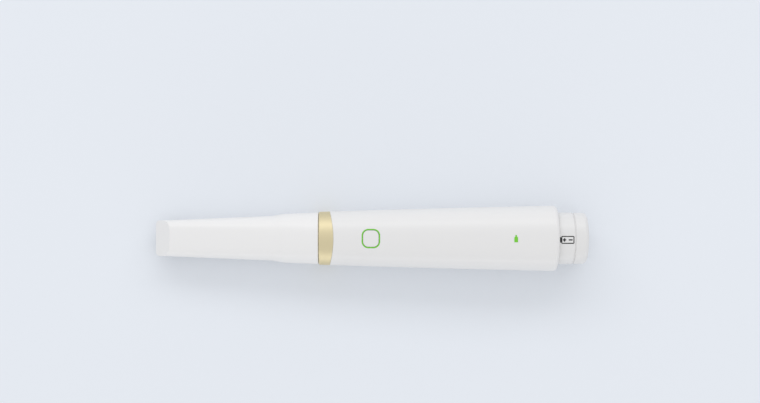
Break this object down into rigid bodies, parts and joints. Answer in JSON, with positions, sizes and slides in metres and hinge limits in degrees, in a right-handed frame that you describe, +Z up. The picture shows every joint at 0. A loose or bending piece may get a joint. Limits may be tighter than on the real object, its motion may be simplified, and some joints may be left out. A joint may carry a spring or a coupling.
{
  "type": "wireless intraoral scanner",
  "caption": "Handheld wireless dental scanner: tapered round-square wand with a slip-on mirror tip, metal collar ring, lit scan button and a pull-out battery pack.",
  "frame": {"origin": "under the middle of the wand, on the plane that its flat belly rests on", "axes": "+X along the wand from the scan tip to the battery, +Z up out of the button side, +Y completes the right-handed frame"},
  "size_m": [0.2533, 0.0382, 0.0367],
  "materials": {
    "white_housing": "satin moulded",
    "white_tip": "satin moulded",
    "white_button": "satin moulded",
    "white_pack": "satin moulded",
    "champagne_metal": "champagne anodised",
    "green_guide": "lit translucent green",
    "optical_glass": "polished",
    "front_mirror": "front-coated",
    "black_aluminium": "black anodised",
    "bare_aluminium": "bead blasted",
    "board_green": "solder mask",
    "steel": "plain",
    "gold_contact": "gold plated",
    "black_plastic": "moulded",
    "grey_plastic": "moulded",
    "pale_ceramic": "fired",
    "seal_rubber": "moulded",
    "lead_red": "insulated wire",
    "amber_film": "polyimide film",
    "cell_wrap": "shrink-wrapped can"
  },
  "bodies": {
    "handle": {"antenna": "pale_ceramic", "battery_bay": "grey_plastic", "battery_light": "green_guide", "board_screws": "steel", "button_switch": "black_plastic", "camera_barrel_left": "black_aluminium", "camera_barrel_right": "black_aluminium", "camera_lens_left": "optical_glass", "camera_lens_right": "optical_glass", "collar_ring": "champagne_metal", "contact_block": "black_plastic", "contact_pins": "gold_contact", "flex_cable": "amber_film", "frame_screws": "steel", "front_window": "optical_glass", "heat_sink": "bare_aluminium", "indicator_board": "board_green", "indicator_led": "pale_ceramic", "light_ring": "green_guide", "lower_shell": "white_housing", "main_board": "board_green", "nose_barrel": "black_aluminium", "nose_seal": "seal_rubber", "optical_frame": "bare_aluminium", "power_leads": "lead_red", "projector_barrel": "black_aluminium", "projector_board": "board_green", "projector_lens": "optical_glass", "ring_leds": "pale_ceramic", "sensor_board": "board_green", "shield_can": "steel", "upper_shell": "white_housing"},
    "button": {"button_cap": "white_button", "switch_plunger": "black_plastic"},
    "tip": {"tip_sleeve": "white_tip", "tip_mirror": "front_mirror"},
    "battery": {"battery_housing": "white_pack", "battery_end_cap": "white_pack", "battery_cell": "cell_wrap", "battery_board": "board_green", "battery_contacts": "gold_contact", "battery_gasket": "seal_rubber"}
  },
  "joints": [
    {"name": "button_press", "type": "slide", "parent": "handle", "child": "button", "axis": [0, 0, -1], "range_m": [0, 0.0006], "stiffness_N_per_m": 3000, "springref_m": -0.0002},
    {"name": "tip_pull", "type": "slide", "parent": "handle", "child": "tip", "axis": [-1, 0, 0], "range_m": [0, 0.055]},
    {"name": "battery_pull", "type": "slide", "parent": "handle", "child": "battery", "axis": [1, 0, 0], "range_m": [0, 0.075]}
  ]
}
